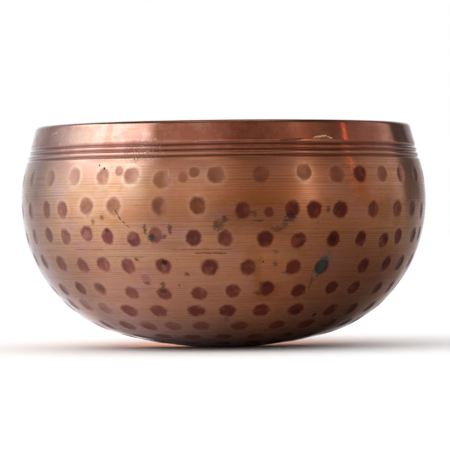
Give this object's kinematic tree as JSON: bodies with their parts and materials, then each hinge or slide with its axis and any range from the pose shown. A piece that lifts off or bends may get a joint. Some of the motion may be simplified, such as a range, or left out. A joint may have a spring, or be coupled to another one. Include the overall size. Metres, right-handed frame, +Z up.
{
  "type": "hammered copper bowl",
  "caption": "Thick-walled round copper bowl with turned grooves under the lip and rows of round hammer marks.",
  "frame": {"origin": "centre of the small flat foot, on the surface the bowl stands on", "axes": "+Z up along the bowl's axis, the bowl's front faces -Y"},
  "size_m": [0.18, 0.18, 0.0983],
  "materials": {
    "hammered_copper": "aged copper, turned to a brushed satin, with dark patina in the hammer marks"
  },
  "bodies": {
    "root": {"bowl": "hammered_copper"}
  },
  "joints": []
}
